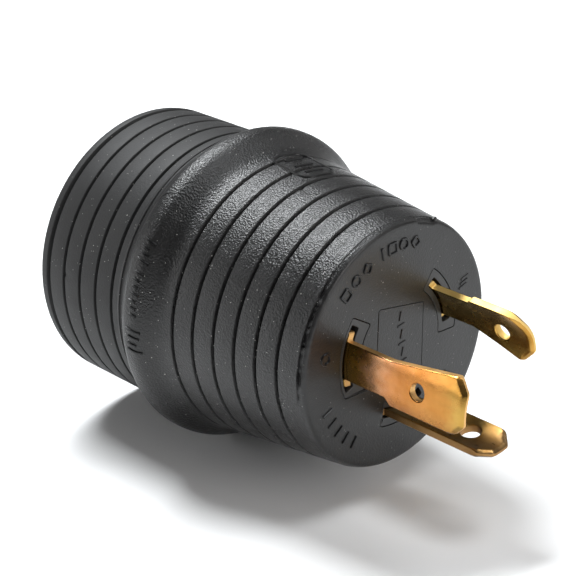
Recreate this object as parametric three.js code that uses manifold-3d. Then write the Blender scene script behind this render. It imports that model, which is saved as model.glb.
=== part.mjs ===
// Rigid adapter: 30 A three-blade locking plug on one end, 30 A travel-trailer socket on the other.
// Millimetres. X runs along the adapter, +X out through the blades, +Z up.
// The origin is the centre of the flat plug face.
import * as THREE from 'three';
import Module from 'manifold-3d';

// ---- overall body ------------------------------------------------------------------------
const BODY_LENGTH = 66.8;
const SEGMENTS = 48;
const FACE_EDGE_RADIUS = 21.9;
const FACE_ROUNDING = 0.9;
const PLUG_BARREL_RADIUS = 22.75;
const PLUG_BARREL_TAPER = 0.12;
const SOCKET_BARREL_RADIUS = 27.0;
const SOCKET_ROUNDING = 0.6;
const HUMP_CREST = 29.85;
const HUMP_FRONT_X = -30.4;
const HUMP_CREST_X = -38.0;
const HUMP_BACK_X = -42.6;
const HUMP_FRONT_STEEPNESS = 2.4;
const HUMP_BACK_STEEPNESS = 1.65;
const HUMP_LIP = 0.25;
const PARTING_RIDGE = 0.35;

// ---- grip grooves ------------------------------------------------------------------------
const GROOVE_WIDTH = 0.75;
const GROOVE_DEPTH = 0.65;
const PLUG_GROOVES = 6;
const PLUG_GROOVE_START = -5.9;
const SOCKET_GROOVES = 5;
const SOCKET_GROOVE_START = -45.5;
const GROOVE_PITCH = 4.7;

// ---- inside of the overmould --------------------------------------------------------------
const CLEAR = 0.3;
const BORE_RADIUS = 19.9;
const CORE_RADIUS = BORE_RADIUS - CLEAR;
const FACE_WALL = 2.4;
const LOCK_RIB_X = -56.5;
const LOCK_RIB_WIDTH = 2.4;
const LOCK_RIB_DEPTH = 1.0;

// ---- blade core ---------------------------------------------------------------------------
const CARRIER_BACK = -8.7;
const BLADE_RETAINER_BACK = -11.6;

// ---- blades -------------------------------------------------------------------------------
const BLADE_INNER = 11.8;
const BLADE_THICKNESS = 1.5;
const BLADE_OUTER = BLADE_INNER + BLADE_THICKNESS;
const BLADE_MID = BLADE_INNER + BLADE_THICKNESS / 2;
const BLADE_CHAMFER = 2.2;
const SHOULDER_TOP = -0.8;
const SHOULDER_STEP_X = -3.6;
const SHOULDER_STEP = 0.9;
const SHOULDER_BACK = -8.4;
const BLADE_TAIL_WIDTH = 4.6;
const BLADE_BARREL_START = -15.4;
const BLADE_BARREL_END = -21.6;

// Each blade: direction of its middle in degrees about the axis, the island it stands in (inner
// and outer radius, and the angles that each arc spans), and its outline across the middle line
// (neck and head half widths on the low and high side).
const BLADES = [
  {
    name: 'neutral', angle: 20, length: 20.4, neck: [-1.9, 4.3],
    island: { inner: 10.5, outer: 14.8, innerSpan: [-5, 54], outerSpan: [-4, 54] },
    head: [-4.9, 5.2], flareX: 7.0, notchX: 8.6, shoulder: [-3.0, 5.5], slot: [-3.5, 6.1],
    holeX: 13.9, holeAcross: -0.5, hole: 3.1,
  },
  {
    name: 'line', angle: -83, length: 22.8, neck: [-3.9, 3.1],
    island: { inner: 10.3, outer: 15.1, innerSpan: [-107, -52], outerSpan: [-105, -52] },
    head: [-3.9, 4.1], flareX: 7.0, notchX: 9.2, shoulder: [-4.5, 4.4], slot: [-5.0, 4.9],
    holeX: 15.6, holeAcross: 0.6, hole: 3.6,
  },
  {
    name: 'ground', angle: 174, length: 26.5, neck: [-3.3, 3.5],
    island: { inner: 9.2, outer: 14.1, innerSpan: [138, 222], outerSpan: [142, 205] },
    head: [-5.2, 4.8], flareX: 10.0, notchX: 10.2, shoulder: [-4.8, 5.3], slot: [-5.8, 5.8],
    holeX: 16.6, holeAcross: -0.1, hole: 3.1,
  },
];

// ---- socket core --------------------------------------------------------------------------
const SOCKET_FACE_X = -66.0;
const SOCKET_FACE_WALL = 2.2;
const CONTACT_CARRIER_FRONT = -47.4;
const CONTACT_RETAINER_FRONT = -44.4;
const SOCKET_TURN = 155;
const SLOT_ACROSS = 8.2;
const SLOT_ALONG = 4.6;
const SLOT_LENGTH = 8.2;
const SLOT_WIDTH = 2.3;
const GROUND_ALONG = -9.5;
const GROUND_HOLE = 6.0;
const CONTACT_BACK = -47.8;
const CONTACT_FRONT = -63.2;
const LEAF_THICKNESS = 0.8;
const CONTACT_GAP = 1.7;
const CLIP_THICKNESS = 0.5;
const CLIP_LENGTH = 8.0;
const CLIP_FRONT = CONTACT_FRONT + 2.0;
const CONTACT_BARREL_START = -43.2;
const CONTACT_BARREL_END = -37.4;
const CONTACT_TAIL_WIDTH = 4.4;
const CONTACT_TAIL_THICKNESS = 1.0;

// ---- wiring -------------------------------------------------------------------------------
const BARREL_OUTER = 5.4;
const BARREL_INNER = 3.8;
const CONDUCTOR = 3.0;
const INSULATION_OUTER = 5.2;
const INSULATION_INNER = 3.8;
const INSULATION_START = -22.4;
const INSULATION_END = -36.6;
const CONDUCTOR_START = -17.0;
const CONDUCTOR_END = -41.6;
const CHANNEL_RADIUS = 4.1;
const INNER_FILL_FRONT = -11.9;
const INNER_FILL_BACK = -44.1;

const wasm = await Module();
wasm.setup();

// ---- helpers ------------------------------------------------------------------------------
const rad = (degrees) => (degrees * Math.PI) / 180;

/** Closed three.js geometry -> manifold solid, vertices merged by position, outward facing. */
function solid(geometry) {
  const position = geometry.getAttribute('position');
  const count = geometry.index ? geometry.index.count : position.count;
  const known = new Map();
  const vertices = [];
  const triangles = [];
  for (let i = 0; i < count; i += 3) {
    const corner = [];
    for (let j = 0; j < 3; j += 1) {
      const v = geometry.index ? geometry.index.getX(i + j) : i + j;
      const p = [position.getX(v), position.getY(v), position.getZ(v)];
      const key = p.map((c) => Math.round(c * 1e4)).join(',');
      if (!known.has(key)) {
        known.set(key, known.size);
        vertices.push(...p);
      }
      corner.push(known.get(key));
    }
    const [a, b, c] = corner;
    if (a !== b && b !== c && a !== c) triangles.push(a, b, c);
  }
  let volume = 0;
  for (let i = 0; i < triangles.length; i += 3) {
    const [a, b, c] = [0, 1, 2].map((j) => new THREE.Vector3().fromArray(vertices, 3 * triangles[i + j]));
    volume += a.dot(b.cross(c));
  }
  if (volume < 0) {
    for (let i = 0; i < triangles.length; i += 3) {
      [triangles[i + 1], triangles[i + 2]] = [triangles[i + 2], triangles[i + 1]];
    }
  }
  return new wasm.Manifold(new wasm.Mesh({
    numProp: 3,
    vertProperties: new Float32Array(vertices),
    triVerts: new Uint32Array(triangles),
  }));
}

/** Manifold solid -> three.js geometry. */
function geometryOf(body) {
  const mesh = body.getMesh();
  const geometry = new THREE.BufferGeometry();
  geometry.setAttribute('position', new THREE.BufferAttribute(new Float32Array(mesh.vertProperties), 3));
  geometry.setIndex(new THREE.BufferAttribute(new Uint32Array(mesh.triVerts), 1));
  const flat = geometry.toNonIndexed();
  flat.computeVertexNormals();
  return flat;
}

/** Turn a profile of [x, r] points about the X axis. */
function turned(points, segments = SEGMENTS) {
  const profile = points.map(([x, r]) => new THREE.Vector2(r, x));
  const geometry = new THREE.LatheGeometry(profile, segments);
  geometry.rotateZ(-Math.PI / 2);
  return solid(geometry);
}

const disc = (radius, x0, x1, segments) => turned([[x0, 0], [x0, radius], [x1, radius], [x1, 0]], segments);

/** Move a geometry drawn in (across, up) and extruded along +z so that it runs along X. */
const ALONG_X = new THREE.Matrix4().makeBasis(
  new THREE.Vector3(0, 1, 0),
  new THREE.Vector3(0, 0, 1),
  new THREE.Vector3(1, 0, 0),
);

/** Prism with its section in the YZ plane, from x0 to x1. */
function prism(points, x0, x1) {
  const shape = new THREE.Shape(points.map(([y, z]) => new THREE.Vector2(y, z)));
  const geometry = new THREE.ExtrudeGeometry(shape, { depth: x1 - x0, bevelEnabled: false });
  geometry.applyMatrix4(ALONG_X);
  geometry.translate(x0, 0, 0);
  return solid(geometry);
}

/** Points of an arc about the X axis, angles in degrees. */
function arc(radius, from, to, steps) {
  const points = [];
  for (let i = 0; i <= steps; i += 1) {
    const a = rad(from + ((to - from) * i) / steps);
    points.push([radius * Math.cos(a), radius * Math.sin(a)]);
  }
  return points;
}

/** Points of a ring sector about the X axis, angles in degrees. */
function sector(inner, outer, from, to, steps = 10) {
  return [...arc(outer, from, to, steps), ...arc(inner, to, from, steps)];
}

/** Outline of a blade's island, grown by a clearance on every side. */
function islandOutline({ inner, outer, innerSpan, outerSpan }, grow) {
  const spread = (grow / inner) * (180 / Math.PI);
  return [
    ...arc(outer + grow, outerSpan[0] - spread, outerSpan[1] + spread, 10),
    ...arc(inner - grow, innerSpan[1] + spread, innerSpan[0] - spread, 10),
  ];
}

/** Prism with its outline in (x, across), standing radially at an angle, from r0 to r1. */
function radialPrism(points, angle, r0, r1) {
  const a = rad(angle);
  const outward = new THREE.Vector3(0, Math.cos(a), Math.sin(a));
  const across = new THREE.Vector3(0, -Math.sin(a), Math.cos(a));
  const shape = new THREE.Shape(points.map(([x, v]) => new THREE.Vector2(x, v)));
  const geometry = new THREE.ExtrudeGeometry(shape, { depth: r1 - r0, bevelEnabled: false });
  geometry.translate(0, 0, r0);
  geometry.applyMatrix4(new THREE.Matrix4().makeBasis(new THREE.Vector3(1, 0, 0), across, outward));
  return solid(geometry);
}

/** Round bar standing radially at an angle. */
function radialPin(x, acrossOffset, angle, diameter, r0, r1, sides = 16) {
  const points = [];
  for (let i = 0; i < sides; i += 1) {
    const t = (2 * Math.PI * i) / sides;
    points.push([x + (diameter / 2) * Math.cos(t), acrossOffset + (diameter / 2) * Math.sin(t)]);
  }
  return radialPrism(points, angle, r0, r1);
}

/** Cylinder along X at (y, z). */
function bar(y, z, radius, x0, x1, sides = 16) {
  return disc(radius, x0, x1, sides).translate([0, y, z]);
}

/** Box along X centred on (y, z), turned about X so that its width lies along the given angle. */
function slab(y, z, width, height, x0, x1, angle = 0) {
  const w = width / 2;
  const h = height / 2;
  return prism([[-w, -h], [w, -h], [w, h], [-w, h]], x0, x1).rotate([angle, 0, 0]).translate([0, y, z]);
}

const polar = (radius, angle) => [radius * Math.cos(rad(angle)), radius * Math.sin(rad(angle))];

const MATERIALS = {
  overmould: { color: 0x26272a, roughness: 0.55, metalness: 0.0 },
  core: { color: 0x3a3b3d, roughness: 0.5, metalness: 0.0 },
  fill: { color: 0x2d2f33, roughness: 0.7, metalness: 0.0 },
  brass: { color: 0xb98a45, roughness: 0.32, metalness: 0.9 },
  spring: { color: 0xb9bcc0, roughness: 0.3, metalness: 0.95 },
  copper: { color: 0xb8673e, roughness: 0.4, metalness: 0.9 },
  black: { color: 0x1b1b1d, roughness: 0.6, metalness: 0.0 },
  white: { color: 0xe4e2da, roughness: 0.6, metalness: 0.0 },
  green: { color: 0x2c7a43, roughness: 0.6, metalness: 0.0 },
};

const assembly = new THREE.Group();
assembly.name = 'power_adapter_dogbone';

function place(name, body, material) {
  const mesh = new THREE.Mesh(geometryOf(body), new THREE.MeshStandardMaterial(MATERIALS[material]));
  mesh.name = name;
  assembly.add(mesh);
}

// ---- overmould ----------------------------------------------------------------------------
function grooved(start, count, pitch, radiusAt) {
  const points = [];
  for (let i = 0; i < count; i += 1) {
    const x = start - i * pitch;
    points.push([x + GROOVE_WIDTH / 2, radiusAt(x + GROOVE_WIDTH / 2)]);
    points.push([x, radiusAt(x) - GROOVE_DEPTH]);
    points.push([x - GROOVE_WIDTH / 2, radiusAt(x - GROOVE_WIDTH / 2)]);
  }
  return points;
}

/** Smooth rise of the hump between two stations. */
function rise(xFrom, rFrom, xTo, rTo, steps, steepness) {
  const points = [];
  for (let i = 1; i < steps; i += 1) {
    const t = i / steps;
    const s = t ** steepness / (t ** steepness + (1 - t) ** steepness);
    points.push([xFrom + (xTo - xFrom) * t, rFrom + (rTo - rFrom) * s]);
  }
  return points;
}

const plugRadius = (x) => PLUG_BARREL_RADIUS - PLUG_BARREL_TAPER * x;
const socketRadius = () => SOCKET_BARREL_RADIUS;

const outerProfile = [
  [0, 0],
  [0, FACE_EDGE_RADIUS],
  [-0.3 * FACE_ROUNDING, FACE_EDGE_RADIUS + 0.65 * FACE_ROUNDING],
  [-FACE_ROUNDING, plugRadius(-FACE_ROUNDING)],
  ...grooved(PLUG_GROOVE_START, PLUG_GROOVES, GROOVE_PITCH, plugRadius),
  [HUMP_FRONT_X, plugRadius(HUMP_FRONT_X)],
  ...rise(HUMP_FRONT_X, plugRadius(HUMP_FRONT_X), HUMP_CREST_X, HUMP_CREST, 11, HUMP_FRONT_STEEPNESS),
  [HUMP_CREST_X, HUMP_CREST],
  ...rise(HUMP_CREST_X, HUMP_CREST, HUMP_BACK_X, SOCKET_BARREL_RADIUS + HUMP_LIP, 6, HUMP_BACK_STEEPNESS),
  [HUMP_BACK_X, SOCKET_BARREL_RADIUS + HUMP_LIP],
  [HUMP_BACK_X - 0.12, SOCKET_BARREL_RADIUS + HUMP_LIP + PARTING_RIDGE],
  [HUMP_BACK_X - 0.42, SOCKET_BARREL_RADIUS + HUMP_LIP + PARTING_RIDGE],
  [HUMP_BACK_X - 0.62, SOCKET_BARREL_RADIUS],
  ...grooved(SOCKET_GROOVE_START, SOCKET_GROOVES, GROOVE_PITCH - 0.02, socketRadius),
  [-BODY_LENGTH + SOCKET_ROUNDING, SOCKET_BARREL_RADIUS],
  [-BODY_LENGTH, SOCKET_BARREL_RADIUS - SOCKET_ROUNDING],
  [-BODY_LENGTH, 0],
];

const boreProfile = [
  [-FACE_WALL, 0],
  [-FACE_WALL, BORE_RADIUS],
  [LOCK_RIB_X + LOCK_RIB_WIDTH / 2, BORE_RADIUS],
  [LOCK_RIB_X + LOCK_RIB_WIDTH / 2 - 0.4, BORE_RADIUS - LOCK_RIB_DEPTH],
  [LOCK_RIB_X - LOCK_RIB_WIDTH / 2 + 0.4, BORE_RADIUS - LOCK_RIB_DEPTH],
  [LOCK_RIB_X - LOCK_RIB_WIDTH / 2, BORE_RADIUS],
  [-BODY_LENGTH - 1, BORE_RADIUS],
  [-BODY_LENGTH - 1, 0],
];

let overmould = turned(outerProfile).subtract(turned(boreProfile));
for (const blade of BLADES) {
  overmould = overmould.subtract(prism(islandOutline(blade.island, CLEAR), -FACE_WALL - 1, 1));
}
place('overmould_body', overmould, 'overmould');

// ---- blade core: carrier with three islands, and the retainer behind it ---------------------
/** Length of curved strip at a blade's radius, with room on both faces if asked. */
function bladeStrip(blade, room, x0, x1) {
  const curve = sector(BLADE_INNER - room, BLADE_OUTER + room, blade.angle - 50, blade.angle + 50, 20);
  return prism(curve, x0, x1);
}

/** Opening that takes the shoulder of a blade, with clearance. */
function bladePocket(blade) {
  const [low, high] = blade.slot;
  const step = SHOULDER_STEP_X + CLEAR;
  const wideLow = blade.shoulder[0] - SHOULDER_STEP - CLEAR;
  const wideHigh = blade.shoulder[1] + SHOULDER_STEP + CLEAR;
  const outline = [
    [2, low], [2, high], [step, high], [step, wideHigh],
    [-12, wideHigh], [-12, wideLow], [step, wideLow], [step, low],
  ];
  return bladeStrip(blade, CLEAR, -20, 5).intersect(radialPrism(outline, blade.angle, 6, 18));
}

let carrier = disc(CORE_RADIUS, CARRIER_BACK, -FACE_WALL - CLEAR);
for (const blade of BLADES) {
  carrier = carrier.add(prism(islandOutline(blade.island, 0), -FACE_WALL - 1, 0));
}
for (const blade of BLADES) carrier = carrier.subtract(bladePocket(blade));
place('blade_carrier', carrier, 'core');

let bladeRetainer = disc(CORE_RADIUS, BLADE_RETAINER_BACK, CARRIER_BACK - CLEAR);
for (const blade of BLADES) {
  const half = BLADE_TAIL_WIDTH / 2 + CLEAR;
  const reach = [[-30, -half], [5, -half], [5, half], [-30, half]];
  const tailSlot = bladeStrip(blade, CLEAR, -20, 5).intersect(radialPrism(reach, blade.angle, 6, 18));
  bladeRetainer = bladeRetainer.subtract(tailSlot);
}
place('blade_retainer', bladeRetainer, 'core');

// ---- blades with shoulder, tail and crimp barrel --------------------------------------------
function crimpBarrel(y, z, x0, x1) {
  return bar(y, z, BARREL_OUTER / 2, x0, x1).subtract(bar(y, z, BARREL_INNER / 2, x0 - 1, x1 + 1));
}

for (const blade of BLADES) {
  const [neckLow, neckHigh] = blade.neck;
  const [headLow, headHigh] = blade.head;
  const [shoulderLow, shoulderHigh] = blade.shoulder;
  const tail = BLADE_TAIL_WIDTH / 2;
  const tip = blade.length;
  const outline = [
    [BLADE_BARREL_START - 1.2, -tail], [SHOULDER_BACK, -tail],
    [SHOULDER_BACK, shoulderLow - SHOULDER_STEP], [SHOULDER_STEP_X, shoulderLow - SHOULDER_STEP],
    [SHOULDER_STEP_X, shoulderLow], [SHOULDER_TOP, shoulderLow], [SHOULDER_TOP, neckLow],
    [blade.flareX, neckLow], [tip - BLADE_CHAMFER, headLow], [tip, headLow + BLADE_CHAMFER],
    [tip, headHigh - BLADE_CHAMFER], [tip - BLADE_CHAMFER, headHigh],
    [blade.notchX, headHigh], [blade.notchX - 0.9, neckHigh],
    [SHOULDER_TOP, neckHigh], [SHOULDER_TOP, shoulderHigh], [SHOULDER_STEP_X, shoulderHigh],
    [SHOULDER_STEP_X, shoulderHigh + SHOULDER_STEP], [SHOULDER_BACK, shoulderHigh + SHOULDER_STEP],
    [SHOULDER_BACK, tail], [BLADE_BARREL_START - 1.2, tail],
  ];
  const [y, z] = polar(BLADE_MID, blade.angle);
  const body = bladeStrip(blade, 0, -30, 40)
    .intersect(radialPrism(outline, blade.angle, 6, 18))
    .subtract(radialPin(blade.holeX, blade.holeAcross, blade.angle, blade.hole, 6, 18))
    .add(crimpBarrel(y, z, BLADE_BARREL_END, BLADE_BARREL_START));
  place(`${blade.name}_blade`, body, 'brass');
}

// ---- socket core ----------------------------------------------------------------------------
/** Socket layout in its own (across, along) axes, turned into (y, z). */
function socketPoint(across, along) {
  const a = rad(SOCKET_TURN + 180);
  return [along * Math.cos(a) - across * Math.sin(a), along * Math.sin(a) + across * Math.cos(a)];
}

const FLAT_CONTACTS = [
  { name: 'neutral', side: 1 },
  { name: 'line', side: -1 },
].map(({ name, side }) => {
  const [y, z] = socketPoint(side * SLOT_ACROSS, SLOT_ALONG);
  return { name, y, z, turn: SOCKET_TURN + 180 - side * 45 };
});
const [groundY, groundZ] = socketPoint(0, GROUND_ALONG);

const LEAF_SPAN = CONTACT_GAP + 2 * LEAF_THICKNESS;
const CLIP_SPAN = LEAF_SPAN + 2 * (CLEAR + CLIP_THICKNESS);
const GROUND_SLEEVE = GROUND_HOLE / 2 + 0.2;
const GROUND_CLIP = GROUND_SLEEVE + LEAF_THICKNESS + CLEAR;
const CLIP_LOOP = SLOT_LENGTH + 2 * (CLEAR + CLIP_THICKNESS);
const POCKET_LENGTH = CLIP_LOOP + 2 * CLEAR;
const POCKET_FRONT = SOCKET_FACE_X + SOCKET_FACE_WALL;

const carrierProfile = [
  [SOCKET_FACE_X, 0],
  [SOCKET_FACE_X, CORE_RADIUS],
  [LOCK_RIB_X - LOCK_RIB_WIDTH / 2 - CLEAR, CORE_RADIUS],
  [LOCK_RIB_X - LOCK_RIB_WIDTH / 2 - CLEAR, CORE_RADIUS - LOCK_RIB_DEPTH],
  [LOCK_RIB_X + LOCK_RIB_WIDTH / 2 + CLEAR, CORE_RADIUS - LOCK_RIB_DEPTH],
  [LOCK_RIB_X + LOCK_RIB_WIDTH / 2 + CLEAR, CORE_RADIUS],
  [CONTACT_CARRIER_FRONT, CORE_RADIUS],
  [CONTACT_CARRIER_FRONT, 0],
];
let contactCarrier = turned(carrierProfile);
let contactRetainer = disc(CORE_RADIUS, CONTACT_CARRIER_FRONT + CLEAR, CONTACT_RETAINER_FRONT);
const tailSlot = (y, z, turn) => slab(
  y, z, CONTACT_TAIL_WIDTH + 2 * CLEAR, CONTACT_TAIL_THICKNESS + 2 * CLEAR, -50, -40, turn);
const POCKET_BACK = CONTACT_CARRIER_FRONT + 1;
for (const { y, z, turn } of FLAT_CONTACTS) {
  contactCarrier = contactCarrier
    .subtract(slab(y, z, POCKET_LENGTH, CLIP_SPAN + 2 * CLEAR, POCKET_FRONT, POCKET_BACK, turn))
    .subtract(slab(y, z, SLOT_LENGTH, SLOT_WIDTH, SOCKET_FACE_X - 1, POCKET_FRONT + 1, turn));
  contactRetainer = contactRetainer.subtract(tailSlot(y, z, turn));
}
const groundPocket = GROUND_CLIP + CLIP_THICKNESS + CLEAR;
contactCarrier = contactCarrier
  .subtract(bar(groundY, groundZ, groundPocket, POCKET_FRONT, POCKET_BACK, 24))
  .subtract(bar(groundY, groundZ, GROUND_HOLE / 2, SOCKET_FACE_X - 1, POCKET_FRONT + 1, 24));
contactRetainer = contactRetainer.subtract(tailSlot(groundY, groundZ, SOCKET_TURN));
place('contact_carrier', contactCarrier, 'core');
place('contact_retainer', contactRetainer, 'core');

// ---- socket contacts and their back-up springs ------------------------------------------------
function contactTail(y, z, turn) {
  const tongueEnd = CONTACT_BARREL_START + 1;
  return slab(y, z, CONTACT_TAIL_WIDTH, CONTACT_TAIL_THICKNESS, CONTACT_BACK - 0.5, tongueEnd, turn)
    .add(crimpBarrel(y, z, CONTACT_BARREL_START, CONTACT_BARREL_END));
}

/** U-shaped channel, closed by a web at its inner end. */
function channel(y, z, turn, width, gap, wall, xOpen, xWeb) {
  return slab(y, z, width, gap + 2 * wall, xOpen, xWeb, turn)
    .subtract(slab(y, z, width + 1, gap, xOpen - 1, xWeb - wall, turn));
}

for (const { name, y, z, turn } of FLAT_CONTACTS) {
  const leaves = channel(y, z, turn, SLOT_LENGTH, CONTACT_GAP, LEAF_THICKNESS, CONTACT_FRONT, CONTACT_BACK);
  place(`${name}_contact`, leaves.add(contactTail(y, z, turn)), 'brass');
  const clipBack = CLIP_FRONT + CLIP_LENGTH;
  const clip = slab(y, z, CLIP_LOOP, CLIP_SPAN, CLIP_FRONT, clipBack, turn)
    .subtract(slab(y, z, SLOT_LENGTH + 2 * CLEAR, LEAF_SPAN + 2 * CLEAR, CLIP_FRONT - 1, clipBack + 1, turn));
  place(`${name}_contact_spring`, clip, 'spring');
}

const sleeve = bar(groundY, groundZ, GROUND_SLEEVE + LEAF_THICKNESS, CONTACT_FRONT, CONTACT_BACK, 24)
  .subtract(bar(groundY, groundZ, GROUND_SLEEVE, CONTACT_FRONT - 1, CONTACT_BACK - LEAF_THICKNESS, 24))
  .subtract(slab(groundY, groundZ, 12, 0.9, CONTACT_FRONT - 1, CONTACT_BACK - 3, SOCKET_TURN));
place('ground_contact', sleeve.add(contactTail(groundY, groundZ, SOCKET_TURN)), 'brass');

const ring = bar(groundY, groundZ, GROUND_CLIP + CLIP_THICKNESS, CLIP_FRONT, CLIP_FRONT + 4, 24)
  .subtract(bar(groundY, groundZ, GROUND_CLIP, CLIP_FRONT - 1, CLIP_FRONT + 5, 24));
const [gapY, gapZ] = polar(3, SOCKET_TURN + 90);
const ringGap = slab(groundY + gapY, groundZ + gapZ, 1.2, 6, CLIP_FRONT - 1, CLIP_FRONT + 5, SOCKET_TURN);
place('ground_contact_spring', ring.subtract(ringGap), 'spring');

// ---- three wires from blade to contact ----------------------------------------------------------
const INSULATION = { neutral: 'white', line: 'black', ground: 'green' };
const TARGETS = {
  neutral: [FLAT_CONTACTS[0].y, FLAT_CONTACTS[0].z],
  line: [FLAT_CONTACTS[1].y, FLAT_CONTACTS[1].z],
  ground: [groundY, groundZ],
};

/** Gentle S from the blade barrel to the contact barrel, between two stations along X. */
class WirePath extends THREE.Curve {
  constructor(from, to, x0, x1) {
    super();
    Object.assign(this, { from, to, x0, x1 });
  }

  getPoint(t, target = new THREE.Vector3()) {
    const x = this.x0 + (this.x1 - this.x0) * t;
    const u = THREE.MathUtils.smoothstep(-x, -BLADE_BARREL_END, -CONTACT_BARREL_END);
    const [y, z] = [0, 1].map((i) => this.from[i] + (this.to[i] - this.from[i]) * u);
    return target.set(x, y, z);
  }
}

const circle = (radius, sides) => Array.from({ length: sides }, (_, i) => {
  const a = (2 * Math.PI * i) / sides;
  return new THREE.Vector2(radius * Math.cos(a), radius * Math.sin(a));
});

function swept(path, outer, inner = 0, steps = 12, sides = 14) {
  const shape = new THREE.Shape(circle(outer, sides));
  if (inner > 0) shape.holes.push(new THREE.Path(circle(inner, sides).reverse()));
  return solid(new THREE.ExtrudeGeometry(shape, { steps, bevelEnabled: false, extrudePath: path }));
}

let fill = disc(CORE_RADIUS, INNER_FILL_BACK, INNER_FILL_FRONT);
for (const blade of BLADES) {
  const from = polar(BLADE_MID, blade.angle);
  const to = TARGETS[blade.name];
  const conductor = new WirePath(from, to, CONDUCTOR_START, CONDUCTOR_END);
  const jacket = new WirePath(from, to, INSULATION_START, INSULATION_END);
  const passage = new WirePath(from, to, INNER_FILL_FRONT + 2, INNER_FILL_BACK - 2);
  const tube = swept(jacket, INSULATION_OUTER / 2, INSULATION_INNER / 2);
  place(`${blade.name}_conductor`, swept(conductor, CONDUCTOR / 2), 'copper');
  place(`${blade.name}_insulation`, tube, INSULATION[blade.name]);
  fill = fill.subtract(swept(passage, CHANNEL_RADIUS));
}
place('inner_fill', fill, 'fill');

export default assembly;
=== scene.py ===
import math
import random

import bmesh
import bpy
from mathutils import Matrix, Vector
from mathutils.geometry import delaunay_2d_cdt


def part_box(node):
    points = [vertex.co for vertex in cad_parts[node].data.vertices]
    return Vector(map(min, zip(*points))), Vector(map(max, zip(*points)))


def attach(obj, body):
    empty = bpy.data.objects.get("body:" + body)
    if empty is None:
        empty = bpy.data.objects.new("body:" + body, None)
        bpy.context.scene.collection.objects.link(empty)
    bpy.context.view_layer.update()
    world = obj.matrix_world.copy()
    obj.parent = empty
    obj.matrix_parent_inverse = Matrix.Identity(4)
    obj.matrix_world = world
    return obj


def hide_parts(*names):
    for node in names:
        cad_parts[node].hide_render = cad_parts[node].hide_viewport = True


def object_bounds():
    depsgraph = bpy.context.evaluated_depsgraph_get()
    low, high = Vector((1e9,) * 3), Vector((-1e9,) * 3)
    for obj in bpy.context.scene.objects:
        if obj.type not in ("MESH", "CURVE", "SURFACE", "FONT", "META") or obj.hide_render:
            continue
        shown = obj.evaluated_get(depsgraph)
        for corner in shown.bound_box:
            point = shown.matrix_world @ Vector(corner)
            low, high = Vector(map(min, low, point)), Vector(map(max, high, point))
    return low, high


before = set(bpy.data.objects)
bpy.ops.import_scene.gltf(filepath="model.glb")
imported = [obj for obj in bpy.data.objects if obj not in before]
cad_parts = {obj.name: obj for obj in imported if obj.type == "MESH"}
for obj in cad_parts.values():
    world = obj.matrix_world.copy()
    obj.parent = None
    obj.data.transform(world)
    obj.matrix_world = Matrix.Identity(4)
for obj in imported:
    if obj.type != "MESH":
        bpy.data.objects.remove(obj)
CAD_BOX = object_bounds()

MM = 0.001

# ------------------------------------------------------------------ sizes, in millimetres
FACE_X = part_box("overmould_body")[1].x / MM
BODY_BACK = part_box("overmould_body")[0].x / MM
SOCKET_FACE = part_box("contact_carrier")[0].x / MM

SEGMENTS = 300
FACE_EDGE = 21.9
PLUG_RADIUS, PLUG_TAPER = 22.75, 0.12
HUMP_FRONT, HUMP_CREST, HUMP_BACK = -30.4, -38.0, -42.6
HUMP_LIP = 0.25
SOCKET_RADIUS = 27.0
CREST_RADIUS = 29.85
BORE_RADIUS = 19.9
CORE_RADIUS = 19.6
FACE_WALL = 2.4
CLEAR = 0.3
ISLAND_GAP = 0.09
GROOVE_WIDTH, GROOVE_DEPTH = 0.76, 0.80
PLUG_PITCH, SOCKET_PITCH = 4.7, 4.68
PLUG_GROOVES = [-5.9 - PLUG_PITCH * i for i in range(6)]
SOCKET_GROOVES = [-45.5 - SOCKET_PITCH * i for i in range(5)]
BLADE_MID, BLADE_THICK = 12.55, 1.5
SOCKET_TURN = 155.0
RELIEF_SINK = 0.12

# Flaws of the moulding: where the flash stands, then (angle, half width in degrees) along the rim,
# then small nicks as (groove, angle, half width, depth).
FLASH_X = -1.22
FLASH, TORN, GATE_SLIT = (108, 42), (160, 32), (73, 6.8)
NICKS = ((PLUG_GROOVES[3], 99.5, 1.8, 0.22), (SOCKET_GROOVES[3], 173.8, 1.6, 0.25))

# Angles are degrees about the axis. neck, head, shoulder and slot run across the strip, the rest along it.
# island is (inner, outer, start, end, start_out, end_out), hole is (along, across, radius) and
# tip is (cut corner, its rounding).
BLADES = {
    "neutral": dict(angle=20, island=(10.5, 14.8, -5, 54, -4, 54), length=20.4,
                    neck=(-1.9, 4.3), head=(-4.9, 5.2), shoulder=(-3.0, 5.5), slot=(-3.5, 6.1),
                    flare=7.0, notch=8.6, top=-0.5, hole=(13.9, -0.5, 1.55), tip=(3.2, 5.0)),
    "line": dict(angle=-83, island=(10.3, 15.1, -107, -52, -105, -52), length=22.8,
                 neck=(-3.9, 3.1), head=(-3.9, 4.1), shoulder=(-4.5, 4.4), slot=(-5.0, 4.9),
                 flare=7.0, notch=9.2, top=-0.6, hole=(15.6, 0.6, 1.8), tip=(2.2, 1.2)),
    "ground": dict(angle=174, island=(9.2, 14.1, 138, 222, 142, 205), length=26.5,
                   neck=(-3.3, 3.5), head=(-5.2, 4.8), shoulder=(-4.8, 5.3), slot=(-5.8, 5.8),
                   flare=10.0, notch=10.2, top=-0.15, hole=(16.6, -0.1, 1.55), tip=(2.2, 1.2)),
}

CAMERA_AZIMUTH, CAMERA_ELEVATION = math.radians(46.37), math.radians(23.64)
CAMERA_PLACE = Vector((190.9, -208.2, 134.2))
CAMERA_SENSOR, CAMERA_LENS = 36, 112.5


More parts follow.
